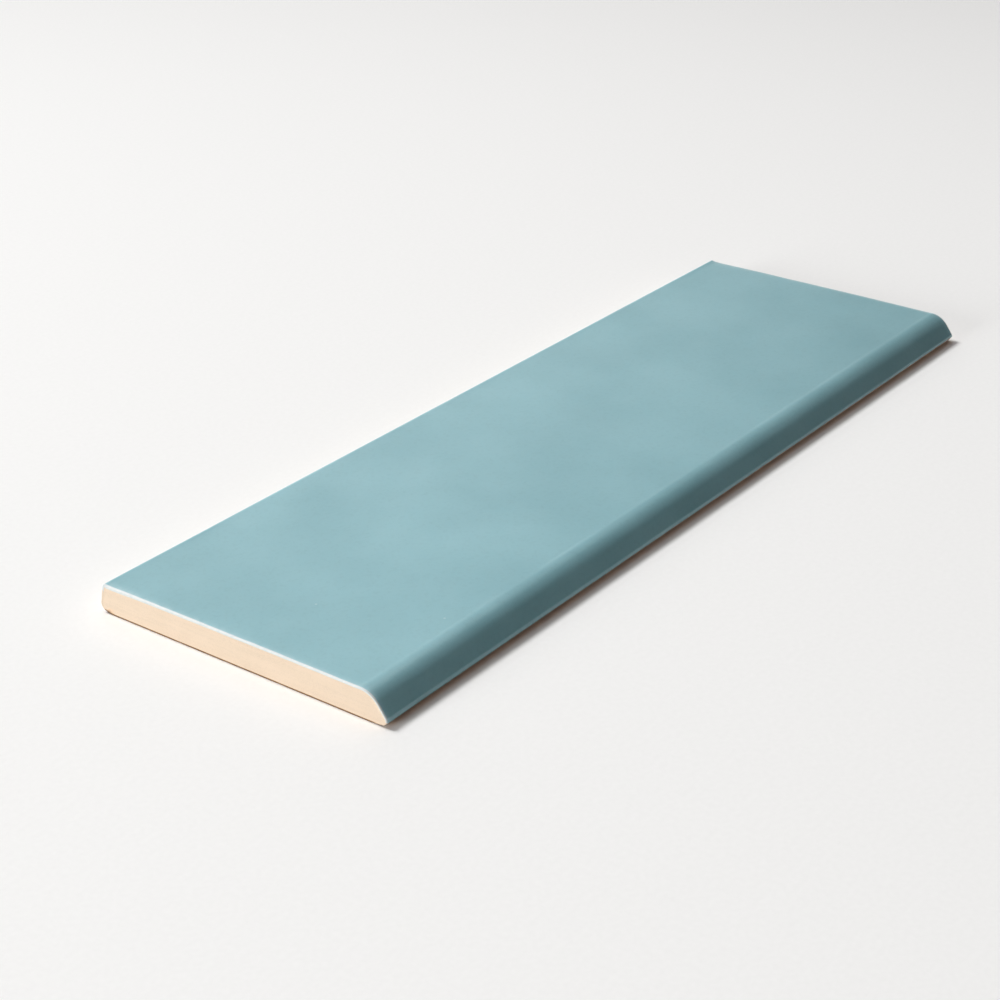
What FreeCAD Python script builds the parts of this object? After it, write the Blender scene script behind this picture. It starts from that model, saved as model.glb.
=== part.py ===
"""Bullnose wall tile, dust-pressed and glazed, 100 x 300 mm.

One long edge is a bullnose: the face rolls over a round nose and down a leaning flank to a steep, low land.
The other long edge is the square edge that meets the next tile, with the slight lean of the press mould.
Both ends are flat, so that tiles butt in a row, and the back is keyed with shallow recesses for the adhesive.

Frame, in millimetres: +X along the tile, -Y towards the nose, +Z up through the glazed face.
The origin is on the back, below the middle of the tile.
"""

import FreeCAD, Part
import math
import os

import Sketcher

NODE = "bullnose_tile"

# Driving dimensions: alias, value and what it measures. Lengths in millimetres, angles in degrees.
SIZES = (
    ("tile_length", 300, "end to end"),
    ("tile_width", 100, "nose to square edge, at their widest"),
    ("tile_thickness", 8.8, "back to glazed face"),
    ("nose_radius", 7.5, "round between the face and the flank of the bullnose"),
    ("flank_lean", 35, "lean of the flank from upright"),
    ("land_lean", 10, "lean from upright of the land below the flank"),
    ("land_height", 2.4, "top of the land above the back"),
    ("crease_radius", 0.9, "round between the flank and the land"),
    ("foot_radius", 0.6, "round where the land meets the back"),
    ("edge_radius", 1.2, "round between the face and the square edge"),
    ("edge_lean", 12, "lean of the square edge from upright, narrower at the face"),
    ("heel_radius", 2, "round between the square edge and the back"),
    ("arris_radius", 0.3, "eased arris all round each end"),
    ("key_depth", 0.8, "depth of the recesses in the back"),
    ("key_border", 9, "plain border of the back around the recesses"),
    ("key_rib", 3, "rib between neighbouring recesses"),
    ("key_draft", 30, "slope of the recess walls from upright"),
    ("keys_along", 12, "recesses in a row along the tile"),
    ("keys_across", 4, "recesses in a row across the tile"),
)


def make_sheet(doc):
    """The spreadsheet of driving dimensions, one row to a size."""
    sheet = doc.addObject("Spreadsheet::Sheet", "sizes")
    for row, (alias, value, meaning) in enumerate(SIZES, start=1):
        sheet.set(f"A{row}", meaning)
        sheet.set(f"B{row}", str(value))
        sheet.setAlias(f"B{row}", alias)
    doc.recompute()
    return sheet


def origin_plane(body, role):
    """One of the body's own origin planes or axes."""
    return next(item for item in body.Origin.OriginFeatures if item.Role == role)


def add_sketch(body, name, plane_role):
    """An empty sketch lying on one of the body's origin planes."""
    sketch = body.newObject("Sketcher::SketchObject", name)
    sketch.AttachmentSupport = [(origin_plane(body, plane_role), "")]
    sketch.MapMode = "FlatFace"
    return sketch


def drive(sketch, name, expression, *constraint):
    """Adds a named dimension to a sketch and binds it to the spreadsheet."""
    index = sketch.addConstraint(Sketcher.Constraint(*constraint))
    sketch.renameConstraint(index, name)
    sketch.setExpression(f"Constraints.{name}", expression)


def polar(centre, radius, degrees):
    """The point of a circle at an angle, in the plane of a sketch."""
    turn = math.radians(degrees)
    return centre + FreeCAD.Vector(math.cos(turn), math.sin(turn), 0) * radius


def arc_between(centre, radius, start_degrees, end_degrees):
    """A circular arc from one angle to another, counter-clockwise."""
    circle = Part.Circle(centre, FreeCAD.Vector(0, 0, 1), radius)
    return Part.ArcOfCircle(circle, math.radians(start_degrees), math.radians(end_degrees))


def upper_centre(lower, lower_radius, upper_radius, rise, lean, side):
    """Centre of a round that shares a leaning tangent with the round below. Side is 1 towards +Y, else -1."""
    turn = math.radians(lean)
    reach = (lower_radius - upper_radius - rise * math.sin(turn)) / math.cos(turn)
    return lower + FreeCAD.Vector(side * reach, rise, 0)


def section_centres(sheet):
    """Centres of the rounds: heel and edge on the square side, nose, crease and foot on the other."""
    half = sheet.tile_width / 2
    heel = FreeCAD.Vector(half - sheet.heel_radius, sheet.heel_radius, 0)
    rise = sheet.tile_thickness - sheet.edge_radius - heel.y
    edge = upper_centre(heel, sheet.heel_radius, sheet.edge_radius, rise, sheet.edge_lean, 1)
    foot = FreeCAD.Vector(-half + sheet.foot_radius, sheet.foot_radius, 0)
    crease_drop = sheet.crease_radius * math.sin(math.radians(sheet.land_lean))
    rise = sheet.land_height - crease_drop - foot.y
    crease = upper_centre(foot, sheet.foot_radius, sheet.crease_radius, rise, sheet.land_lean, -1)
    rise = sheet.tile_thickness - sheet.nose_radius - crease.y
    nose = upper_centre(crease, sheet.crease_radius, sheet.nose_radius, rise, sheet.flank_lean, -1)
    return heel, edge, nose, crease, foot


def draw_section(body, sheet):
    """The cross-section, run counter-clockwise from the back: heel, edge, face, nose, flank, land, foot."""
    sketch = add_sketch(body, "section", "YZ_Plane")
    heel, edge, nose, crease, foot = section_centres(sheet)
    edge_turn = sheet.edge_lean
    flank_turn = 180 - sheet.flank_lean
    land_turn = 180 - sheet.land_lean
    rounds = (
        (heel, sheet.heel_radius, -90, edge_turn),
        (edge, sheet.edge_radius, edge_turn, 90),
        (nose, sheet.nose_radius, 90, flank_turn),
        (crease, sheet.crease_radius, flank_turn, land_turn),
        (foot, sheet.foot_radius, land_turn, 270),
    )
    # Every straight side runs from the end of one round to the start of the next, so the loop closes.
    outline = []
    for place, (centre, radius, start, end) in enumerate(rounds):
        before_centre, before_radius, _, before_end = rounds[place - 1]
        start_point = polar(before_centre, before_radius, before_end)
        outline.append(sketch.addGeometry(Part.LineSegment(start_point, polar(centre, radius, start))))
        outline.append(sketch.addGeometry(arc_between(centre, radius, start, end)))
    back, heel_round, side, edge_round, face, nose_round, flank, crease_round, land, foot_round = outline
    start_of, end_of, centre_of = 1, 2, 3
    for first, second in zip(outline, outline[1:] + outline[:1]):
        sketch.addConstraint(Sketcher.Constraint("Tangent", first, end_of, second, start_of))
    sketch.addConstraint(Sketcher.Constraint("Horizontal", back))
    sketch.addConstraint(Sketcher.Constraint("Horizontal", face))
    horizontal_axis, origin_point = -1, (-1, 1)
    sketch.addConstraint(Sketcher.Constraint("PointOnObject", back, start_of, horizontal_axis))
    radii = (
        ("heel_radius", heel_round),
        ("edge_radius", edge_round),
        ("nose_radius", nose_round),
        ("crease_radius", crease_round),
        ("foot_radius", foot_round),
    )
    for name, arc in radii:
        drive(sketch, name, f"sizes.{name}", "Radius", arc, getattr(sheet, name))
    drive(sketch, "thickness", "sizes.tile_thickness",
          "DistanceY", *origin_point, face, end_of, sheet.tile_thickness)
    drive(sketch, "land_height", "sizes.land_height",
          "DistanceY", *origin_point, land, start_of, sheet.land_height)
    drive(sketch, "square_reach", "sizes.tile_width / 2 - sizes.heel_radius",
          "DistanceX", *origin_point, heel_round, centre_of, heel.x)
    drive(sketch, "nose_reach", "sizes.tile_width / 2 - sizes.foot_radius",
          "DistanceX", foot_round, centre_of, *origin_point, -foot.x)
    drive(sketch, "edge_slope", "(90 + sizes.edge_lean) * 1 deg",
          "Angle", side, math.radians(90 + sheet.edge_lean))
    drive(sketch, "flank_slope", "-(90 + sizes.flank_lean) * 1 deg",
          "Angle", flank, -math.radians(90 + sheet.flank_lean))
    drive(sketch, "land_slope", "-(90 + sizes.land_lean) * 1 deg",
          "Angle", land, -math.radians(90 + sheet.land_lean))
    return sketch


def run_section(body, section):
    """The section run from end to end, half each way."""
    blank = body.newObject("PartDesign::Pad", "blank")
    blank.Profile = section
    blank.SideType = "Symmetric"
    blank.setExpression("Length", "sizes.tile_length")
    return blank


def ease_ends(body, blank, sheet):
    """The small round along every edge of the two end faces."""
    half = sheet.tile_length / 2
    on_end = [
        f"Edge{number}"
        for number, edge in enumerate(blank.Shape.Edges, start=1)
        if all(math.isclose(abs(vertex.X), half) for vertex in edge.Vertexes)
        and math.isclose(edge.BoundBox.XLength, 0, abs_tol=1e-6)
    ]
    arris = body.newObject("PartDesign::Fillet", "end_arris")
    arris.Base = (blank, on_end)
    arris.setExpression("Radius", "sizes.arris_radius")
    return arris


def key_pitch(side, count):
    """Expression for the step from one recess to the next, which fills the back between its borders."""
    return f"(sizes.{side} - 2 * sizes.key_border + sizes.key_rib) / sizes.{count}"


def row_extent(side, count):
    """Expression for the run of a whole row, from its first recess to its last."""
    return f"{key_pitch(side, count)} * (sizes.{count} - 1)"


def draw_key(body, sheet):
    """The mouth of one recess of the back, in the corner next to the near end and the nose."""
    sketch = add_sketch(body, "key_mouth", "XY_Plane")
    low_x = -sheet.tile_length / 2 + sheet.key_border
    low_y = -sheet.tile_width / 2 + sheet.key_border
    size_x = (sheet.tile_length - 2 * sheet.key_border + sheet.key_rib) / sheet.keys_along - sheet.key_rib
    size_y = (sheet.tile_width - 2 * sheet.key_border + sheet.key_rib) / sheet.keys_across - sheet.key_rib
    corners = [
        FreeCAD.Vector(low_x, low_y, 0),
        FreeCAD.Vector(low_x + size_x, low_y, 0),
        FreeCAD.Vector(low_x + size_x, low_y + size_y, 0),
        FreeCAD.Vector(low_x, low_y + size_y, 0),
    ]
    ends = zip(corners, corners[1:] + corners[:1])
    sides = [sketch.addGeometry(Part.LineSegment(first, second)) for first, second in ends]
    for first, second in zip(sides, sides[1:] + sides[:1]):
        sketch.addConstraint(Sketcher.Constraint("Coincident", first, 2, second, 1))
    for side, direction in zip(sides, ("Horizontal", "Vertical", "Horizontal", "Vertical")):
        sketch.addConstraint(Sketcher.Constraint(direction, side))
    drive(sketch, "from_end", "sizes.tile_length / 2 - sizes.key_border",
          "DistanceX", sides[0], 1, -1, 1, -low_x)
    drive(sketch, "from_nose", "sizes.tile_width / 2 - sizes.key_border",
          "DistanceY", sides[0], 1, -1, 1, -low_y)
    drive(sketch, "mouth_along", key_pitch("tile_length", "keys_along") + " - sizes.key_rib",
          "DistanceX", sides[0], 1, sides[0], 2, size_x)
    drive(sketch, "mouth_across", key_pitch("tile_width", "keys_across") + " - sizes.key_rib",
          "DistanceY", sides[1], 1, sides[1], 2, size_y)
    return sketch


def key_back(body, mouth):
    """The recesses of the back: one pocket with sloping walls, repeated along and across the tile."""
    key = body.newObject("PartDesign::Pocket", "key")
    key.Profile = mouth
    key.Reversed = True
    key.setExpression("Length", "sizes.key_depth")
    key.setExpression("TaperAngle", "-sizes.key_draft * 1 deg")
    body.Document.recompute()
    keys = body.newObject("PartDesign::LinearPattern", "keys")
    keys.Originals = [key]
    keys.Direction = (origin_plane(body, "X_Axis"), [""])
    keys.Mode = "Extent"
    keys.setExpression("Length", row_extent("tile_length", "keys_along"))
    keys.setExpression("Occurrences", "sizes.keys_along")
    keys.Direction2 = (origin_plane(body, "Y_Axis"), [""])
    keys.Mode2 = "Extent"
    keys.setExpression("Length2", row_extent("tile_width", "keys_across"))
    keys.setExpression("Occurrences2", "sizes.keys_across")
    body.Tip = keys
    return keys


def make_tile(doc, sheet):
    """The whole tile, fired as one piece."""
    body = doc.addObject("PartDesign::Body", NODE)
    body.Label = NODE
    body.Placement = FreeCAD.Placement()
    section = draw_section(body, sheet)
    blank = run_section(body, section)
    doc.recompute()
    ease_ends(body, blank, sheet)
    doc.recompute()
    key_back(body, draw_key(body, sheet))
    doc.recompute()
    return body


def check(doc, body):
    """Stops before anything is written if a feature failed or the tile isn't one valid solid."""
    failed = [item.Name for item in doc.Objects if {"Invalid", "Error"} & set(item.State)]
    if failed:
        raise RuntimeError(f"these features failed: {failed}")
    if body.Shape.isNull() or not body.Shape.isValid() or len(body.Shape.Solids) != 1:
        raise RuntimeError(f"{body.Label} isn't one valid solid")


def main():
    doc = FreeCAD.newDocument("bullnose_tile_model")
    sheet = make_sheet(doc)
    tile = make_tile(doc, sheet)
    check(doc, tile)
    os.makedirs("parts", exist_ok=True)
    tile.Shape.exportStep(f"parts/{tile.Label}.step")
    box = tile.Shape.optimalBoundingBox(False)
    print(f"{tile.Label}: {box.XLength:.2f} x {box.YLength:.2f} x {box.ZLength:.2f} mm, "
          f"{tile.Shape.Volume / 1000:.2f} cm3, {len(tile.Shape.Faces)} faces")


main()
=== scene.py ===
"""Looks of the bullnose tile: its glazed face, white rim and cream biscuit, a pale floor, lights and camera.

The tile's lengths are in millimetres, and MM turns them into metres. The floor and the lamps are in metres.
The tile's sizes repeat the ones of the CAD part, whose frame this scene shares.
"""

import math

import bpy
import numpy as np
from mathutils import Matrix, Vector, noise

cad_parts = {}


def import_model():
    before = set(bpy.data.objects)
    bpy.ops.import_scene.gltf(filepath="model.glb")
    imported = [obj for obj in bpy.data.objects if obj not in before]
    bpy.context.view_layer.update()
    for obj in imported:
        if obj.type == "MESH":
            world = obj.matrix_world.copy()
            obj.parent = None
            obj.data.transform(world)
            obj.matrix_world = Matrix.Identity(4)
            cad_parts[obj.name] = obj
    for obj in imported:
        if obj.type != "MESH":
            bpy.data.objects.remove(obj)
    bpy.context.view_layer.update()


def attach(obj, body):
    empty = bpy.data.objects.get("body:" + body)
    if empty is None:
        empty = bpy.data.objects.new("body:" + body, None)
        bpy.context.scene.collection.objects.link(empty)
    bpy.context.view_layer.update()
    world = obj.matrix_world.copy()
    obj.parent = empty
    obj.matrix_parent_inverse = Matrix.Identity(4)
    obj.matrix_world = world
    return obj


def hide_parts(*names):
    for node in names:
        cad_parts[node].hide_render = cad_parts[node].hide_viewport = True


MM = 0.001
TINY = 1e-6

# Sizes of the tile in millimetres and degrees, as in the CAD part
LENGTH, WIDTH, THICKNESS = 300.0, 100.0, 8.8
NOSE_RADIUS, FLANK_LEAN = 7.5, 35.0
LAND_LEAN, LAND_HEIGHT = 10.0, 2.4
CREASE_RADIUS, FOOT_RADIUS = 0.9, 0.6
EDGE_RADIUS, EDGE_LEAN, HEEL_RADIUS = 1.2, 12.0, 2.0
ARRIS_RADIUS = 0.3
KEY_DEPTH, KEY_BORDER, KEY_RIB, KEY_DRAFT = 0.8, 9.0, 3.0, 30.0
KEYS_ALONG, KEYS_ACROSS = 12, 4
KEY_WALL = KEY_DEPTH * math.tan(math.radians(KEY_DRAFT))

# Points of the mesh on the rounds and the flank, and steps over the floor of a recess
CREASE_POINTS, NOSE_POINTS, EDGE_POINTS, HEEL_POINTS = 6, 17, 8, 8
FLANK_POINTS, ARRIS_POINTS = 8, 7
KEY_STEPS_ALONG, KEY_STEPS_ACROSS = 10, 9
# Mesh lines on the face next to the square edge, and the last of them with a line of the back right below
EDGE_LINES = (42.0, 43.0, 44.0, 45.2, 46.4, 47.4)
PAIRED_LINE = 44.0
# Mesh lines next to an end, by their distance from it
END_LINES = (7.5, 6.0, 4.6, 3.4, 2.4, 1.6, 1.0, 0.7)
# Shares of the square side from the top, and of the foot and the land from the bottom
SIDE_SHARES = (0.05, 0.12, 0.17, 0.3, 0.5, 0.75)
LOW_SHARES = (0, 0.07, 0.14, 0.19, 0.25, 0.28, 0.33, 0.41, 0.52, 0.66, 0.81, 0.94)
# Places among the shares from the bottom: the underside of the glaze's lip, and the glaze's lower edge
GLAZE_UNDER, GLAZE_LOW = 3, 4
# Rows of an end face from the chain to the back
CAP_ROWS = 8
# Runs on an end face in millimetres, each with the most that it takes of the way down:
# the step below the slip, the line of painted shade at the bottom, and the row above that line
CAP_STEP = (0.1, 0.1)
CAP_LINE = (0.2, 0.05)
CAP_ABOVE_LINE = (0.36, 0.1)

# Slow waves of the glaze, which only sink it, and how much of them each part of the section has
WAVE_DEPTH, WAVE_REST, WAVE_SWING = 0.3, 0.35, 0.5
WAVE_FADE = {"face": 1.0, "nose": 0.55, "flank": 0.35, "crease": 0.2, "edge": 0.15}
WAVE_SMOOTHING = 6
# Fall of the glaze towards an end, deepest at the square edge, and at the square corners
DRAW_DEPTH, DRAW_REACH = 0.24, 6.0
CORNER_DEPTH, CORNER_REACH = 0.16, 12.0
# White slip at an end: how far from it the teal stops on the face and on the nose, and how far that strays
SLIP_START, SLIP_START_NOSE, SLIP_START_STRAY = 0.6, 0.36, 0.1
# Width of the slip on an end face, at the square edge and at the nose, and its stray
SLIP_WIDE, SLIP_NARROW, SLIP_STRAY = 0.35, 0.12, 0.06
# Added width at the square corner
SLIP_CORNER, SLIP_CORNER_REACH = 0.3, 12.0
# The slip narrows where the section is steep, by a power of its upright share, which counts as this at least
SLIP_STEEP, SLIP_STEEP_POWER = 0.15, 0.3
# Most that the slip takes of the way down an end face
SLIP_MOST = 0.45
# Stray of the glaze's and the slip's edges on the square side
SIDE_STRAY = 0.18
# Depth of the biscuit below the slip on an end face, and the height of its grain
BISCUIT_STEP, BISCUIT_GRAIN = 0.05, 0.03
# Height where the glaze stops above the foot, at the near and far end, its stray, and the power of its rise
GLAZE_NEAR, GLAZE_FAR, GLAZE_STRAY = 1.55, 1.9, 0.1
GLAZE_RISE_POWER = 0.55
# Thickness of the glaze's lip
GLAZE_LIP = 0.14
# Biscuit below the lip: a slope back to the bottom edge, behind which the back comes down to the floor
FOOT_BACK, FOOT_LIFT, FOOT_LIFT_REACH = 1.2, 0.5, 6.0
# Power that spaces the points on that slope, closer towards the lip
SLOPE_SPACING = 0.6
# Wear of the heel, and how far from it the back starts to rise
HEEL_WEAR, HEEL_WEAR_REACH = 0.45, 3.0
# Share of the arris that the bottom edge of an end keeps
LOW_ARRIS = 0.3

# Thin glaze: its reach from an end, and what the square edge adds to that
THIN_REACH, THIN_REACH_MORE = 2.6, 1.2
# Thin glaze over the square edge: its reach and share
THIN_EDGE_REACH, THIN_EDGE_SHARE = 4, 0.9
# Painted contact shade, dark brown, along the biscuit's bottom edges: its height, and the run over which it
# fades
CONTACT_SHADE_HEIGHT, CONTACT_SHADE_FADE = 0.44, 0.15
# Painted shade below the glaze's lip: its share, and the run over which it fades
LIP_SHADE_MOST, LIP_SHADE_FADE = 0.8, 0.3
# Share at which the biscuit is warmest, before the painted shade darkens it
WARM_SHARE = 0.15

# Noises of the mesh: wavelength in millimetres, and the layer of the noise
WAVES = (36.0, 0.0)
GLAZE_EDGE_NOISE = (11.0, 2.0)
SIDE_NOISE = (9.0, 2.0)
SLIP_START_NOISE = (5.0, 4.0)
SLIP_NOISE = (4.0, 6.0)
GRAIN_NOISE = (7.0, 8.0)
SEED = Vector((3.7, 11.3, 5.1))

# The map of the mesh in millimetres: the chain and the back as two long strips above each other,
# and each end face as a strip three times its size
MAP_MARGIN, MAP_BOTTOM, MAP_GAP = 2, 1, 4
MAP_SPAN = LENGTH + 2 * MAP_MARGIN
MAP_END_SCALE = 3
MAP_END_RISE = {-1: 214.0, 1: 246.0}

# Colours in linear light
BLACK, WHITE = (0.0, 0.0, 0.0), (1.0, 1.0, 1.0)
DEEP_TEAL, PALE_TEAL = (0.231, 0.449, 0.496), (0.275, 0.507, 0.556)
THIN_TEAL, TEAL_SPECK = (0.6, 0.74, 0.76), (0.55, 0.68, 0.70)
GREY_SLIP, PALE_SLIP = (0.68, 0.735, 0.745), (0.77, 0.80, 0.80)
DEEP_CREAM, PALE_CREAM = (0.845, 0.695, 0.54), (0.875, 0.72, 0.565)
CREAM_SPECK = (0.5, 0.34, 0.22)
# Warm cream of the foot's slope, and the dark brown of the painted shade at the bottom edges and under the
# lip
WARM_CREAM, PAINTED_SHADE_BROWN = (0.87, 0.65, 0.46), (0.24, 0.125, 0.055)
DIM_FLOOR, PALE_FLOOR = (0.90, 0.90, 0.892), (0.92, 0.92, 0.912)
DIM_ROOM, DARK_ROOM = (0.17, 0.17, 0.17), (0.07, 0.052, 0.05)
FILL_COLOUR = (1.0, 0.99, 0.97)
# Usual lowest and highest value of a noise in a material
NOISE_LOW, NOISE_HIGH = 0.3, 0.7
# Pale patches of the room: turn and height of the middle, and reach, in degrees, then the level of light
PATCHES = ((45.0, 12.0, 24.0, 1.05), (36.0, 34.0, 21.0, 1.2), (66.0, 55.0, 16.0, 2.5))

GLAZE, SLIP, BISCUIT = range(3)


def upper_centre(lower, lower_radius, upper_radius, rise, lean, side):
    """Centre of a round that shares a leaning tangent with the round below it."""
    turn = math.radians(lean)
    reach = (lower_radius - upper_radius - rise * math.sin(turn)) / math.cos(turn)
    return lower + np.array([side * reach, rise])


def round_points(centre, radius, turns):
    """Points and outward normals of a round, at the given directions of its normal."""
    turns = np.radians(turns)
    normals = np.stack([np.cos(turns), np.sin(turns)], axis=1)
    return centre + radius * normals, normals


def straight_points(start, end, places, turn):
    """Points between two others, at the given shares of the way, with the normal they all have."""
    places = np.asarray(places)[:, None]
    normal = np.array([math.cos(math.radians(turn)), math.sin(math.radians(turn))])
    return start + (end - start) * places, np.tile(normal, (len(places), 1))


def panel_lines(side, count, steps):
    """Grid lines along one side of the back: the walls, floors and ribs of its recesses."""
    pitch = (side - 2 * KEY_BORDER + KEY_RIB) / count
    mouth = pitch - KEY_RIB
    wall = KEY_WALL * np.array([0.0, 1 / 3, 2 / 3])
    floor = np.linspace(KEY_WALL, mouth - KEY_WALL, steps + 1)
    panel = np.concatenate([wall, floor, mouth - wall[::-1]])
    rib = mouth + KEY_RIB * np.array([0.5])
    cell = np.concatenate([panel, rib])
    low = -side / 2 + KEY_BORDER
    lines = np.concatenate([low + place * pitch + cell for place in range(count)])
    return lines[:-1]


def recess(values, side, count):
    """How deep the back is recessed along one side: 0 on a rib, 1 on the floor of a recess."""
    pitch = (side - 2 * KEY_BORDER + KEY_RIB) / count
    mouth = pitch - KEY_RIB
    along = values + side / 2 - KEY_BORDER
    inside = (along > -TINY) & (along < count * pitch - KEY_RIB + TINY)
    place = np.mod(along + TINY, pitch)
    edge = np.clip(np.minimum(place, mouth - place) / KEY_WALL, 0, 1)
    return np.where(inside, edge * edge * (3 - 2 * edge), 0)


class Section:
    """The tile's cross-section as a chain from the foot over the face to the heel, and the back below it."""

    def __init__(self):
        self.lines = panel_lines(WIDTH, KEYS_ACROSS, KEY_STEPS_ACROSS)
        self.lay_chain()
        self.tangents = np.stack([self.normals[:, 1], -self.normals[:, 0]], axis=1)
        steps = np.linalg.norm(np.diff(self.points, axis=0), axis=1)
        self.run = np.concatenate([[0], np.cumsum(steps)])
        self.count = len(self.points)
        self.back = self.pair_back()
        self.mark_coats()

    def lay_rounds(self):
        """Points and normals of the rounds above the land: crease, nose, edge and heel."""
        half = WIDTH / 2
        heel = np.array([half - HEEL_RADIUS, HEEL_RADIUS])
        edge_rise = THICKNESS - EDGE_RADIUS - heel[1]
        edge = upper_centre(heel, HEEL_RADIUS, EDGE_RADIUS, edge_rise, EDGE_LEAN, 1)
        self.foot = np.array([-half + FOOT_RADIUS, FOOT_RADIUS])
        crease_drop = CREASE_RADIUS * math.sin(math.radians(LAND_LEAN))
        crease_rise = LAND_HEIGHT - crease_drop - self.foot[1]
        crease = upper_centre(self.foot, FOOT_RADIUS, CREASE_RADIUS, crease_rise, LAND_LEAN, -1)
        nose_rise = THICKNESS - NOSE_RADIUS - crease[1]
        nose = upper_centre(crease, CREASE_RADIUS, NOSE_RADIUS, nose_rise, FLANK_LEAN, -1)
        flank_turn, land_turn = 180 - FLANK_LEAN, 180 - LAND_LEAN
        return [
            round_points(crease, CREASE_RADIUS, np.linspace(land_turn, flank_turn, CREASE_POINTS)),
            round_points(nose, NOSE_RADIUS, np.linspace(flank_turn, 90, NOSE_POINTS)),
            round_points(edge, EDGE_RADIUS, np.linspace(90, EDGE_LEAN, EDGE_POINTS)),
            round_points(heel, HEEL_RADIUS, np.linspace(EDGE_LEAN, -90, HEEL_POINTS)),
        ]

    def lay_chain(self):
        """The chain's points, normals and names of its parts."""
        rounds = self.lay_rounds()
        face = np.concatenate([self.lines, EDGE_LINES])
        face_start, face_end = rounds[1][0][-1], rounds[2][0][0]
        straights = [
            np.linspace(0.05, 0.95, FLANK_POINTS),
            (face - face_start[0]) / (face_end[0] - face_start[0]),
            SIDE_SHARES,
        ]
        turns = (180 - FLANK_LEAN, 90, EDGE_LEAN)
        labels = ("crease", "flank", "nose", "face", "edge", "side", "heel")
        # The foot and the land are one run from the bottom up: the glaze stops at a changing height on it.
        self.foot_run = FOOT_RADIUS * math.radians(270 - (180 - LAND_LEAN))
        land_run = LAND_HEIGHT - FOOT_RADIUS - FOOT_RADIUS * math.sin(math.radians(LAND_LEAN))
        self.low_end = self.foot_run + land_run / math.cos(math.radians(LAND_LEAN))
        self.low_runs = self.low_end * np.array(LOW_SHARES)
        low_place, low_normal = self.low_points(self.low_runs)
        points, normals = [low_place], [low_normal]
        names = ["foot" if run < self.foot_run else "land" for run in self.low_runs]
        for place, (round_place, round_normal) in enumerate(rounds):
            points.append(round_place)
            normals.append(round_normal)
            names += [labels[2 * place]] * len(round_place)
            if place < len(straights):
                start, end = round_place[-1], rounds[place + 1][0][0]
                run, run_normal = straight_points(start, end, straights[place], turns[place])
                points.append(run)
                normals.append(run_normal)
                names += [labels[2 * place + 1]] * len(run)
        self.points = np.concatenate(points)
        self.normals = np.concatenate(normals)
        self.names = np.array(names)

    def low_points(self, runs):
        """Points and outward normals of the foot and the land, at lengths along them from the bottom up."""
        turns = math.radians(270) - np.minimum(runs, self.foot_run) / FOOT_RADIUS
        normals = np.stack([np.cos(turns), np.sin(turns)], axis=1)
        tangents = np.stack([np.sin(turns), -np.cos(turns)], axis=1)
        beyond = np.maximum(runs - self.foot_run, 0)[:, None]
        return self.foot + FOOT_RADIUS * normals + tangents * beyond, normals

    def low_run_at(self, height):
        """Length along the foot and the land to a height."""
        runs = np.linspace(0, self.low_end, 60)
        return float(np.interp(height, self.low_points(runs)[0][:, 1], runs))

    def pair_back(self):
        """One point of the back below each point of the chain, straight below it over the recesses."""
        y = self.points[:, 0].copy()
        first = int(np.argmax(np.isclose(y, self.lines[0]) & (self.names == "face")))
        last = int(np.argmax(np.isclose(y, PAIRED_LINE) & (self.names == "face")))
        low, high = FOOT_BACK - WIDTH / 2, self.points[-1, 0]
        share = self.run[:first] / self.run[first]
        y[:first] = low + share * (y[first] - low)
        share = (self.run[last + 1:] - self.run[last]) / (self.run[-1] - self.run[last])
        y[last + 1:] = y[last] + share * (high - y[last])
        return y

    def mark_coats(self):
        """What covers each step of the chain, and how far stray, waves and wear move its points."""
        side = np.flatnonzero(self.names == "side")
        self.glaze_high, self.slip_high = side[1], side[2]
        self.coat = np.full(self.count - 1, BISCUIT)
        self.coat[GLAZE_UNDER:self.glaze_high] = GLAZE
        self.coat[self.glaze_high:self.slip_high] = SLIP
        self.stray = np.zeros(self.count)
        self.stray[[self.glaze_high, self.slip_high]] = SIDE_STRAY
        # The slow waves fade out over the nose and the edge, and the foot and heel have none.
        self.wave = np.array([WAVE_FADE.get(name, 0.0) for name in self.names])
        for _ in range(WAVE_SMOOTHING):
            self.wave[1:-1] = (self.wave[:-2] + 2 * self.wave[1:-1] + self.wave[2:]) / 4
        self.wave[:GLAZE_LOW + 1] = 0
        self.wave[self.glaze_high:] = 0
        heel = np.flatnonzero(self.names == "heel")
        self.wear = np.zeros(self.count)
        self.wear[heel] = HEEL_WEAR * np.sqrt(np.linspace(0, 1, len(heel)))


def along_stations():
    """Stations along the tile, and the turn of the arris there: 0 before the round, 90 at the end face."""
    inner = panel_lines(LENGTH, KEYS_ALONG, KEY_STEPS_ALONG)
    half = LENGTH / 2
    border = half - np.array([*END_LINES, SLIP_START])
    turns = np.linspace(0.0, 90.0, ARRIS_POINTS)
    arris = half - ARRIS_RADIUS + ARRIS_RADIUS * np.sin(np.radians(turns))
    high = np.concatenate([border, arris])
    high_turns = np.concatenate([np.zeros(len(border)), turns])
    places = np.concatenate([-high[::-1], inner, high])
    return places, np.concatenate([high_turns[::-1], np.zeros(len(inner)), high_turns])


def wander(x, y, length, layer):
    """Slow noise from -1 to 1 with the given wavelength in millimetres, and a weaker, finer one on top."""
    slow, fine, fineness = 1.1, 0.45, 2.3
    place = Vector((x / length, y / length, layer)) + SEED
    return max(-1.0, min(1.0, slow * noise.noise(place) + fine * noise.noise(place * fineness)))


def foot_lift(y):
    """How far the back rises above the floor on its way to the foot's bottom edge."""
    behind = y + WIDTH / 2 - FOOT_BACK
    return FOOT_LIFT * np.clip(1 - behind / FOOT_LIFT_REACH, 0, 1) ** 2


def heel_lift(y):
    """How far the back rises above the floor on its way to the worn heel."""
    before = WIDTH / 2 - HEEL_RADIUS - y
    return HEEL_WEAR * np.clip(1 - before / HEEL_WEAR_REACH, 0, 1) ** 1.5


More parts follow.
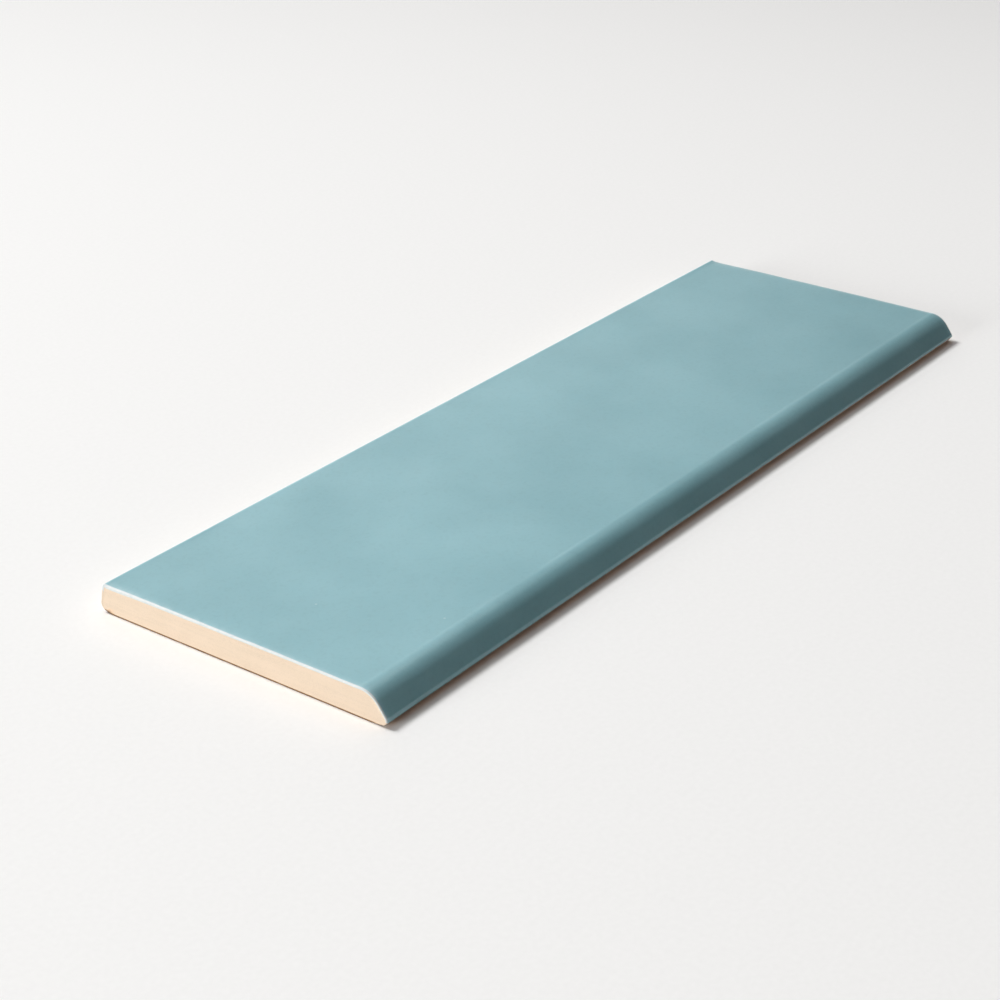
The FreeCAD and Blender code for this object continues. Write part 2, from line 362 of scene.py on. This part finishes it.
def slope_foot(points, normals):
    """Lays the foot's points on the slope from the bottom edge up to the glaze's lip, the last of them."""
    low, lip = np.array([FOOT_BACK - WIDTH / 2, FOOT_LIFT]), points[-1].copy()
    points[:] = low + (lip - low) * np.linspace(0, 1, len(points))[:, None] ** SLOPE_SPACING
    normals[:] = np.array([low[1] - lip[1], lip[0] - low[0]]) / np.linalg.norm(lip - low)


def glaze_height(x):
    """Height of the glaze's lower edge, lowest at the near end."""
    share = (x / LENGTH + 0.5) ** GLAZE_RISE_POWER
    stray = GLAZE_STRAY * share * wander(x, 0.0, *GLAZE_EDGE_NOISE)
    return GLAZE_NEAR + (GLAZE_FAR - GLAZE_NEAR) * share + stray


def chain_at(section, x, inset):
    """The chain's points in the plane of one station, set in by the arris there."""
    glaze_run = section.low_run_at(glaze_height(x))
    marks = (0, section.low_runs[GLAZE_UNDER], section.low_runs[GLAZE_LOW], section.low_end)
    low_runs = np.interp(section.low_runs, marks, (0, glaze_run - GLAZE_LIP, glaze_run, section.low_end))
    low_count = len(low_runs)
    points, normals = section.points.copy(), section.normals.copy()
    points[:low_count], normals[:low_count] = section.low_points(low_runs)
    slope_foot(points[:GLAZE_UNDER + 1], normals[:GLAZE_UNDER + 1])
    # The glaze's edges on the square side stray each by itself.
    stray_apart = 40
    stray = np.array([wander(x, stray_apart * place, *SIDE_NOISE) if amount else 0.0
                      for place, amount in enumerate(section.stray)])
    waves = np.array([wander(x, run, *WAVES) if weight else 0.0
                      for run, weight in zip(section.run, section.wave)])
    share = section.points[:, 0] / WIDTH + 0.5
    to_end = LENGTH / 2 - abs(x)
    to_edge = np.maximum(WIDTH / 2 - section.points[:, 0], 0)
    draw = DRAW_DEPTH * share * max(0.0, 1 - to_end / DRAW_REACH) ** 2
    draw += CORNER_DEPTH * np.exp(-(to_end ** 2 + to_edge ** 2) / CORNER_REACH ** 2)
    fall = WAVE_DEPTH * np.maximum(WAVE_REST - WAVE_SWING * waves, 0) + draw
    sink = section.wave * fall + inset + section.wear
    points += section.tangents * (section.stray * stray)[:, None]
    return points - normals * sink[:, None]


def lay_rings(section, places, turns):
    """All rings of the tile: for every station the chain's points, and the back's points."""
    half = LENGTH / 2
    chain = np.zeros((len(places), section.count, 3))
    back = np.zeros((len(places), section.count, 3))
    across = recess(section.back, WIDTH, KEYS_ACROSS)
    for ring, (x, turn) in enumerate(zip(places, turns)):
        inset = ARRIS_RADIUS * (1 - math.cos(math.radians(turn)))
        chain[ring, :, 0] = x
        chain[ring, :, 1:] = chain_at(section, x, inset)
        back[ring, :, 0] = x
        back[ring, :, 1] = section.back
        depth = across * recess(np.array([x]), LENGTH, KEYS_ALONG)
        back[ring, :, 2] = KEY_DEPTH * depth + LOW_ARRIS * inset
        back[ring, :, 2] += foot_lift(section.back) + heel_lift(section.back)
    # The teal stops just before the arris, along a line that strays a little, differently at each end.
    ends_apart = 40
    for ring in np.flatnonzero(np.isclose(np.abs(places), half - SLIP_START)):
        side = math.copysign(1, places[ring])
        for place in range(GLAZE_LOW, section.glaze_high + 1):
            upright = section.normals[place, 1]
            start = SLIP_START_NOSE + (SLIP_START - SLIP_START_NOSE) * upright
            stray = wander(ends_apart * side, section.run[place], *SLIP_START_NOISE)
            start += SLIP_START_STRAY * upright * stray
            chain[ring, place, 0] = side * (half - start)
    return chain, back


def slip_width(y, side):
    """Width of the white line on an end face, wider towards the square edge and widest at its corner."""
    ends_apart = 70
    share = (y + WIDTH / 2) / WIDTH
    corner = SLIP_CORNER * math.exp((y - WIDTH / 2) / SLIP_CORNER_REACH)
    stray = SLIP_STRAY * wander(ends_apart * side, y, *SLIP_NOISE)
    return SLIP_NARROW + (SLIP_WIDE - SLIP_NARROW) * share + corner + stray


class MeshParts:
    """Vertices, faces, coats and map places of the mesh while it is put together."""

    def __init__(self):
        self.points, self.faces, self.coats, self.maps = [], [], [], []

    def add_point(self, point):
        """Adds a vertex and gives its number."""
        self.points.append(tuple(point))
        return len(self.points) - 1

    def add_face(self, corners, places, coat):
        """Adds a face, without the corners that repeat the one before."""
        kept = [corner for corner, _ in enumerate(corners) if corners[corner] != corners[corner - 1]]
        self.faces.append([corners[corner] for corner in kept])
        self.maps.append([places[corner] for corner in kept])
        self.coats.append(coat)


def share_of(length, run, most):
    """Share of a length that a run takes, up to a limit."""
    return min(run / length, most)


def cap_shares(section, place, rung, y, side):
    """Where the rows of an end face lie between the chain and the back: slip, step, biscuit, line of painted
    shade.
    """
    bare_width, least_lean = 0.02, 0.25
    length = np.linalg.norm(rung)
    width = bare_width
    if GLAZE_LOW <= place <= section.slip_high:
        lean = max(least_lean, -float(np.dot(rung[1:], section.normals[place])) / length)
        upright = max(SLIP_STEEP, section.normals[place, 1])
        width = slip_width(y, side) * upright ** SLIP_STEEP_POWER / lean
    first = share_of(length, width, SLIP_MOST)
    second = first + share_of(length, *CAP_STEP)
    line = 1 - share_of(length, *CAP_LINE)
    above_line = 1 - share_of(length, *CAP_ABOVE_LINE)
    return np.concatenate([[0, first], np.linspace(second, above_line, CAP_ROWS - 3), [line, 1]])


def cap_rows(section, chain, back, side):
    """Points of an end face between the chain and the back, with the white line as its first row."""
    ends_apart, grain_rate = 90, 6
    grid = np.zeros((section.count, CAP_ROWS + 1, 3))
    for place in range(section.count):
        top = chain[place]
        rung = back[place] - top
        if np.linalg.norm(rung) < TINY:
            grid[place] = top
            continue
        grid[place] = top + rung * cap_shares(section, place, rung, top[1], side)[:, None]
        spots = [(point[1] + ends_apart * side, grain_rate * point[2]) for point in grid[place]]
        grain = np.array([BISCUIT_GRAIN * wander(*spot, *GRAIN_NOISE) for spot in spots])
        sink = BISCUIT_STEP + BISCUIT_GRAIN + grain
        sink[[0, 1, -1]] = 0
        grid[place, :, 0] -= side * sink
    return grid


def add_rings(parts, section, chain, back):
    """Adds the vertices of all rings and gives their numbers. The back shares the chain's first and last."""
    last = section.count - 1
    chain_ids = np.zeros(chain.shape[:2], int)
    back_ids = np.zeros(back.shape[:2], int)
    for ring in range(len(chain)):
        for place in range(section.count):
            chain_ids[ring, place] = parts.add_point(chain[ring, place])
        back_ids[ring, [0, last]] = chain_ids[ring, [0, last]]
        for place in range(1, last):
            back_ids[ring, place] = parts.add_point(back[ring, place])
    return chain_ids, back_ids


def add_strips(parts, section, places, chain_ids, back_ids):
    """Adds the faces between the rings: the chain with its coats, and the back."""
    strip = (places + LENGTH / 2 + MAP_MARGIN) / MAP_SPAN
    chain_rise = (section.run + MAP_BOTTOM) / MAP_SPAN
    back_rise = (section.run[-1] + MAP_GAP + section.back - section.back[0]) / MAP_SPAN
    for ring in range(len(places) - 1):
        on_slip = min(abs(places[ring]), abs(places[ring + 1])) > LENGTH / 2 - SLIP_START - TINY
        for place in range(section.count - 1):
            coat = section.coat[place]
            if on_slip and coat == GLAZE:
                coat = SLIP
            corners = ((ring, place), (ring + 1, place), (ring + 1, place + 1), (ring, place + 1))
            parts.add_face([chain_ids[corner] for corner in corners],
                           [(strip[a], chain_rise[b]) for a, b in corners], coat)
            parts.add_face([back_ids[corner] for corner in reversed(corners)],
                           [(strip[a], back_rise[b]) for a, b in reversed(corners)], BISCUIT)


def map_end(point, side):
    """Place on the map of a point of an end face."""
    along = MAP_END_SCALE * point[1] + MAP_SPAN / 2
    rise = MAP_END_RISE[side] + MAP_END_SCALE * point[2]
    return along / MAP_SPAN, rise / MAP_SPAN


def add_end(parts, section, grid, chain_ids, back_ids, side):
    """Adds one end face, from the numbers of the outermost ring's vertices and the points between them."""
    last = section.count - 1
    ids = np.zeros(grid.shape[:2], int)
    ids[:, 0], ids[:, CAP_ROWS] = chain_ids, back_ids
    ids[0], ids[last] = chain_ids[0], chain_ids[last]
    for place in range(1, last):
        for row in range(1, CAP_ROWS):
            ids[place, row] = parts.add_point(grid[place, row])
    for place in range(last):
        coated = GLAZE_LOW <= place < section.slip_high
        for row in range(CAP_ROWS):
            coat = SLIP if coated and row == 0 else BISCUIT
            corners = [(place, row), (place + 1, row), (place + 1, row + 1), (place, row + 1)]
            if side > 0:
                corners.reverse()
            spots = [map_end(grid[corner], side) for corner in corners]
            parts.add_face([ids[corner] for corner in corners], spots, coat)


def tile_mesh():
    """The whole tile as one closed mesh."""
    section = Section()
    places, turns = along_stations()
    chain, back = lay_rings(section, places, turns)
    parts = MeshParts()
    chain_ids, back_ids = add_rings(parts, section, chain, back)
    add_strips(parts, section, places, chain_ids, back_ids)
    for ring, side in ((0, -1), (len(places) - 1, 1)):
        grid = cap_rows(section, chain[ring], back[ring], side)
        add_end(parts, section, grid, chain_ids[ring], back_ids[ring], side)
    return parts


def thin_glaze(points):
    """How thin the glaze is at each vertex, from 0 to 1: thin next to the ends and over the square edge."""
    x, y, _ = points.T
    to_end = LENGTH / 2 - np.abs(x)
    reach = THIN_REACH + THIN_REACH_MORE * (y / WIDTH + 0.5) ** 3
    near_end = np.clip(1 - to_end / reach, 0, 1) ** 2
    near_edge = np.clip(1 - (WIDTH / 2 - y) / THIN_EDGE_REACH, 0, 1) ** 2
    return np.maximum(near_end, THIN_EDGE_SHARE * near_edge)


def warmth_and_painted_shade(points):
    """Share of warm cream and painted shade on the biscuit at each vertex, from 0 to 1: painted shade along
    the bottom edges and under the glaze's lip, warm cream over the rest of the foot's slope.
    """
    x, y, z = points.T
    # Painted contact shade along the bottom edges, where the tile meets the floor.
    contact_shade = np.clip((CONTACT_SHADE_HEIGHT + heel_lift(y) - z) / CONTACT_SHADE_FADE, 0, 1)
    # Painted shade below the glaze's lip, over warm cream on the rest of the foot's slope.
    lip = np.array([glaze_height(place) for place in x]) - GLAZE_LIP
    lip_shade = np.clip(1 - (lip - z) / LIP_SHADE_FADE, WARM_SHARE, LIP_SHADE_MOST)
    slack, end_slack = 0.1, 0.01
    on_slope = (y < FOOT_BACK - WIDTH / 2 + slack) & (z > FOOT_LIFT - slack)
    on_slope &= np.abs(x) < LENGTH / 2 - ARRIS_RADIUS + end_slack
    return np.maximum(contact_shade, lip_shade * on_slope)


def make_tile():
    """The tile's object, with its coats as material slots."""
    parts = tile_mesh()
    points = np.array(parts.points)
    mesh = bpy.data.meshes.new("bullnose_tile_visual")
    mesh.from_pydata((points * MM).tolist(), [], parts.faces)
    mesh.polygons.foreach_set("material_index", parts.coats)
    mesh.polygons.foreach_set("use_smooth", [True] * len(parts.faces))
    layer = mesh.uv_layers.new(name="OFBake")
    flat = [value for face in parts.maps for spot in face for value in spot]
    layer.data.foreach_set("uv", flat)
    for name, values in (("thin_glaze", thin_glaze(points)), ("warmth_and_painted_shade", warmth_and_painted_shade(points))):
        layer = mesh.attributes.new(name, "FLOAT", "POINT")
        layer.data.foreach_set("value", values)
    mesh.validate()
    mesh.update()
    tile = bpy.data.objects.new("tile_body", mesh)
    bpy.context.scene.collection.objects.link(tile)
    for material in (glaze_material(), slip_material(), biscuit_material()):
        mesh.materials.append(material)
    return tile


def feed(tree, socket, value):
    """Gives a socket its value: another socket, a number, or three numbers as a colour."""
    if isinstance(value, bpy.types.NodeSocket):
        tree.links.new(value, socket)
    elif isinstance(value, (int, float)):
        socket.default_value = value
    else:
        socket.default_value = (*value, 1.0)


def mix_colours(tree, factor, first, second, blend="MIX"):
    """Two colours mixed. The factor is held between 0 and 1."""
    node = tree.nodes.new("ShaderNodeMix")
    node.data_type = "RGBA"
    node.blend_type = blend
    for name, value in (("Factor_Float", factor), ("A_Color", first), ("B_Color", second)):
        feed(tree, next(item for item in node.inputs if item.identifier == name), value)
    return next(item for item in node.outputs if item.identifier == "Result_Color")


class Nodes:
    """Short calls for putting a material's nodes together."""

    def __init__(self, name):
        self.material = bpy.data.materials.new(name)
        self.material.use_nodes = True
        self.tree = self.material.node_tree
        self.shader = self.tree.nodes["Principled BSDF"]
        self.coordinates = self.tree.nodes.new("ShaderNodeTexCoord").outputs["Object"]

    def link(self, source, target):
        """Joins two sockets."""
        self.tree.links.new(source, target)

    def set(self, name, value):
        """Gives the shader's input a socket, a number or a colour."""
        feed(self.tree, self.shader.inputs[name], value)

    def noise(self, size_mm, detail=2.0, roughness=0.5, stretch=None):
        """Noise with features about this size; stretch lengthens them along an axis."""
        node = self.tree.nodes.new("ShaderNodeTexNoise")
        node.inputs["Scale"].default_value = 1.0 / (size_mm * MM)
        node.inputs["Detail"].default_value = detail
        node.inputs["Roughness"].default_value = roughness
        source = self.coordinates
        if stretch:
            mapping = self.tree.nodes.new("ShaderNodeMapping")
            mapping.inputs["Scale"].default_value = stretch
            self.link(source, mapping.inputs["Vector"])
            source = mapping.outputs["Vector"]
        self.link(source, node.inputs["Vector"])
        return node.outputs["Fac"]

    def ramp(self, source, low, high):
        """One colour up to a low value, another from a high one. Each end is a value and its colour."""
        node = self.tree.nodes.new("ShaderNodeValToRGB")
        for element, (position, colour) in zip(node.color_ramp.elements, (low, high)):
            element.position = position
            element.color = (*colour, 1.0)
        self.link(source, node.inputs["Fac"])
        return node.outputs["Color"]

    def span(self, source, from_low, from_high, to_low, to_high):
        """A value moved from one range to another."""
        node = self.tree.nodes.new("ShaderNodeMapRange")
        node.inputs["From Min"].default_value = from_low
        node.inputs["From Max"].default_value = from_high
        node.inputs["To Min"].default_value = to_low
        node.inputs["To Max"].default_value = to_high
        self.link(source, node.inputs["Value"])
        return node.outputs["Result"]

    def spread(self, source, low, high):
        """A noise's usual values moved to the range from low to high."""
        return self.span(source, NOISE_LOW, NOISE_HIGH, low, high)

    def mix(self, factor, first, second, blend="MIX"):
        """Two colours mixed."""
        return mix_colours(self.tree, factor, first, second, blend)

    def shade(self, colour, level):
        """A colour darkened to a level; a level over 1 leaves it as it is."""
        return self.mix(1.0, colour, self.mix(level, BLACK, WHITE), "MULTIPLY")

    def maths(self, operation, first, second):
        """Arithmetic on two values."""
        node = self.tree.nodes.new("ShaderNodeMath")
        node.operation = operation
        for socket, value in zip(node.inputs, (first, second)):
            feed(self.tree, socket, value)
        return node.outputs["Value"]

    def attribute(self, name):
        """A value that the mesh has at each vertex."""
        node = self.tree.nodes.new("ShaderNodeAttribute")
        node.attribute_name = name
        return node.outputs["Fac"]

    def bump(self, height, depth_mm, strength, below=None):
        """Fine relief of the given depth, on top of another relief if there is one."""
        node = self.tree.nodes.new("ShaderNodeBump")
        node.inputs["Strength"].default_value = strength
        node.inputs["Distance"].default_value = depth_mm * MM
        self.link(height, node.inputs["Height"])
        if below is not None:
            self.link(below, node.inputs["Normal"])
        return node.outputs["Normal"]

    def specks(self, cell_mm, speck_mm, share, strength):
        """Rare round specks: the strength inside a speck, 0 elsewhere."""
        node = self.tree.nodes.new("ShaderNodeTexVoronoi")
        node.inputs["Scale"].default_value = 1.0 / (cell_mm * MM)
        self.link(self.coordinates, node.inputs["Vector"])
        inner, outer = 0.3 * speck_mm / cell_mm, 0.6 * speck_mm / cell_mm
        near = self.span(node.outputs["Distance"], inner, outer, 1.0, 0.0)
        parts = self.tree.nodes.new("ShaderNodeSeparateColor")
        self.link(node.outputs["Color"], parts.inputs["Color"])
        chosen = self.maths("LESS_THAN", parts.outputs["Red"], share)
        return self.maths("MULTIPLY", self.maths("MULTIPLY", near, chosen), strength)


def glaze_material():
    """Satin teal glaze: slow drifts of colour, painted shade towards the far end and the nose, fine mottle,
    paler where it is thin, a few pale specks.
    """
    nodes = Nodes("satin_teal_glaze")
    colour = nodes.ramp(nodes.noise(32, detail=3.0), (0.32, DEEP_TEAL), (0.68, PALE_TEAL))
    # Painted shade: the teal is darkened towards the far end, most of all at the nose, standing in for light
    # that falls off there.
    place = nodes.tree.nodes.new("ShaderNodeSeparateXYZ")
    nodes.link(nodes.coordinates, place.inputs["Vector"])
    start, end = -70 * MM, 110 * MM
    edge_side, nose_side = 40 * MM, -42 * MM
    least, most = 0.02, 0.13
    along = nodes.span(place.outputs["X"], start, end, 0.0, 1.0)
    across = nodes.span(place.outputs["Y"], edge_side, nose_side, least, most)
    painted_shade = nodes.maths("MULTIPLY", along, across)
    colour = nodes.shade(colour, nodes.maths("SUBTRACT", 1.0, painted_shade))
    mottle = nodes.noise(1.3, detail=3.0, roughness=0.6)
    colour = nodes.shade(colour, nodes.spread(mottle, 0.95, 1.05))
    uneven = nodes.spread(nodes.noise(2.2), 0.25, 0.7)
    colour = nodes.mix(nodes.maths("MULTIPLY", nodes.attribute("thin_glaze"), uneven), colour, THIN_TEAL)
    specks = nodes.specks(cell_mm=14, speck_mm=0.7, share=0.12, strength=0.45)
    colour = nodes.mix(specks, colour, TEAL_SPECK)
    nodes.set("Base Color", colour)
    nodes.set("Subsurface Weight", 0.7)
    nodes.shader.inputs["Subsurface Radius"].default_value = (2.0, 2.6, 2.8)
    nodes.set("Subsurface Scale", MM)
    nodes.set("Roughness", nodes.spread(nodes.noise(20, detail=3.0), 0.28, 0.34))
    skin = nodes.bump(nodes.noise(3.2), depth_mm=0.012, strength=0.6)
    nodes.set("Normal", nodes.bump(nodes.noise(0.45), depth_mm=0.002, strength=0.6, below=skin))
    return nodes.material


def slip_material():
    """White slip between the biscuit and the glaze, seen where the glaze stops."""
    nodes = Nodes("white_slip")
    nodes.set("Base Color", nodes.ramp(nodes.noise(1.6), (0.3, GREY_SLIP), (0.7, PALE_SLIP)))
    nodes.set("Roughness", 0.45)
    nodes.set("Normal", nodes.bump(nodes.noise(0.5), depth_mm=0.01, strength=0.6))
    return nodes.material


def biscuit_material():
    """Cream fired clay: sandy grain, faint streaks along the pressing, small dark grains, a warmer foot,
    painted shade along the bottom edges and under the glaze's lip.
    """
    nodes = Nodes("cream_biscuit")
    base = nodes.ramp(nodes.noise(6.0, detail=3.0), (0.3, DEEP_CREAM), (0.7, PALE_CREAM))
    streak = nodes.spread(nodes.noise(1.0, stretch=(0.12, 0.05, 1.0)), 0.965, 1.03)
    sand = nodes.noise(0.35, detail=3.0, roughness=0.7)
    grain = nodes.span(sand, 0.25, 0.75, 0.92, 1.06)
    colour = nodes.shade(base, nodes.maths("MULTIPLY", streak, grain))
    specks = nodes.specks(cell_mm=1.6, speck_mm=0.35, share=0.2, strength=0.5)
    colour = nodes.mix(specks, colour, CREAM_SPECK)
    warmth_and_shade_share = nodes.attribute("warmth_and_painted_shade")
    # Warm cream up to the warm share, then the dark brown of the painted shade.
    colour = nodes.mix(nodes.span(warmth_and_shade_share, 0.0, WARM_SHARE, 0.0, 1.0), colour, WARM_CREAM)
    colour = nodes.mix(nodes.span(warmth_and_shade_share, WARM_SHARE, 1.0, 0.0, 1.0), colour, PAINTED_SHADE_BROWN)
    nodes.set("Base Color", colour)
    nodes.set("Roughness", 0.9)
    nodes.set("Specular IOR Level", 0.25)
    nodes.set("Normal", nodes.bump(sand, depth_mm=0.04, strength=0.7))
    return nodes.material


def make_floor():
    """Pale matt floor, far larger than any view of the tile, and a hair below its back."""
    reach = 15.0
    drop = -0.02 * MM
    corners = [(-reach, -reach, drop), (reach, -reach, drop), (reach, reach, drop), (-reach, reach, drop)]
    mesh = bpy.data.meshes.new("floor")
    mesh.from_pydata(corners, [], [(0, 1, 2, 3)])
    floor = bpy.data.objects.new("floor", mesh)
    bpy.context.scene.collection.objects.link(floor)
    nodes = Nodes("pale_floor")
    paper = nodes.ramp(nodes.noise(1.5, detail=3.0), (0.3, DIM_FLOOR), (0.7, PALE_FLOOR))
    nodes.set("Base Color", paper)
    nodes.set("Roughness", 0.9)
    nodes.set("Specular IOR Level", 0.2)
    mesh.materials.append(nodes.material)


def add_lamp(name, kind, place, target, power, colour):
    """A lamp at a place, which shines at a point."""
    light = bpy.data.lights.new(name, kind)
    light.energy = power
    light.color = colour
    lamp = bpy.data.objects.new(name, light)
    bpy.context.scene.collection.objects.link(lamp)
    lamp.location = place
    lamp.rotation_euler = (Vector(target) - Vector(place)).to_track_quat("-Z", "Y").to_euler()
    return lamp


def facing(tree, axis, low, high):
    """How near a direction of the room is to an axis: 0 up to the low cosine, 1 from the high one."""
    coordinates = tree.nodes.new("ShaderNodeTexCoord").outputs["Generated"]
    product = tree.nodes.new("ShaderNodeVectorMath")
    product.operation = "DOT_PRODUCT"
    product.inputs[1].default_value = axis
    tree.links.new(coordinates, product.inputs[0])
    share = tree.nodes.new("ShaderNodeMapRange")
    share.interpolation_type = "SMOOTHSTEP"
    share.inputs["From Min"].default_value = low
    share.inputs["From Max"].default_value = high
    tree.links.new(product.outputs["Value"], share.inputs["Value"])
    return share.outputs["Result"]


def towards(turn, height):
    """Direction at a turn from +Y towards +X and a height above the floor, in degrees."""
    turn, height = math.radians(turn), math.radians(height)
    return Vector((math.sin(turn) * math.cos(height), math.cos(turn) * math.cos(height), math.sin(height)))


def make_room():
    """A dim room, darkest away from the key light, with pale patches that the glaze mirrors as sheen."""
    world = bpy.data.worlds.new("room")
    bpy.context.scene.world = world
    world.use_nodes = True
    tree = world.node_tree
    nose_side = facing(tree, axis=(0, -1, 0), low=-0.3, high=0.6)
    colour = mix_colours(tree, nose_side, DIM_ROOM, DARK_ROOM)
    for turn, height, reach, level in PATCHES:
        patch = facing(tree, towards(turn, height), math.cos(math.radians(reach)), 1.0)
        colour = mix_colours(tree, patch, colour, (level, level, level))
    tree.links.new(colour, tree.nodes["Background"].inputs["Color"])


def make_lights():
    """A soft key light from beyond the square edge, and a low fill from the near end's side."""
    key_place, key_target = towards(-4.0, 48.8) * 5.0, (-0.3, 0, 0)
    key = add_lamp("key", "SPOT", key_place, key_target, power=834.0, colour=WHITE)
    key.data.shadow_soft_size = 0.55
    key.data.spot_size = math.radians(42.0)
    key.data.spot_blend = 1.0
    fill_place, fill_target = towards(-77.0, 13.0) * 2.7, (-0.1, 0, 0)
    fill = add_lamp("fill", "AREA", fill_place, fill_target, power=36.0, colour=FILL_COLOUR)
    fill.data.shape = "RECTANGLE"
    fill.data.size, fill.data.size_y = 0.9, 0.9
    fill.visible_camera = False


def make_camera():
    """The photograph's view. Turn is from -Y towards +X, and the square picture is cut from a larger one."""
    turn, height, roll = math.radians(-54.088), math.radians(26.003), math.radians(-0.227)
    distance = 655.128 * MM
    target = Vector((-6.69, -2.628, 0.0)) * MM
    back = Vector((math.sin(turn) * math.cos(height), -math.cos(turn) * math.cos(height), math.sin(height)))
    right = (-back).cross(Vector((0, 0, 1))).normalized()
    up = back.cross(right)
    rolled_right = right * math.cos(roll) + up * math.sin(roll)
    rolled_up = up * math.cos(roll) - right * math.sin(roll)
    sensor, lens_share = 36.0, 2.16234
    data = bpy.data.cameras.new("camera")
    data.sensor_width = sensor
    data.lens = sensor * lens_share
    data.shift_x = -0.0746
    data.shift_y = -0.0309
    data.clip_start = 0.01
    data.clip_end = 100.0
    camera = bpy.data.objects.new("camera", data)
    bpy.context.scene.collection.objects.link(camera)
    axes = Matrix((rolled_right, rolled_up, back)).transposed().to_4x4()
    camera.matrix_world = Matrix.Translation(target + back * distance) @ axes
    bpy.context.scene.camera = camera


def main():
    """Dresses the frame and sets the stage."""
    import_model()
    bpy.context.scene.view_settings.view_transform = "Standard"
    tile = make_tile()
    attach(tile, "root")
    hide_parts("bullnose_tile")
    make_floor()
    make_room()
    make_lights()
    make_camera()
    bpy.context.view_layer.update()


main()
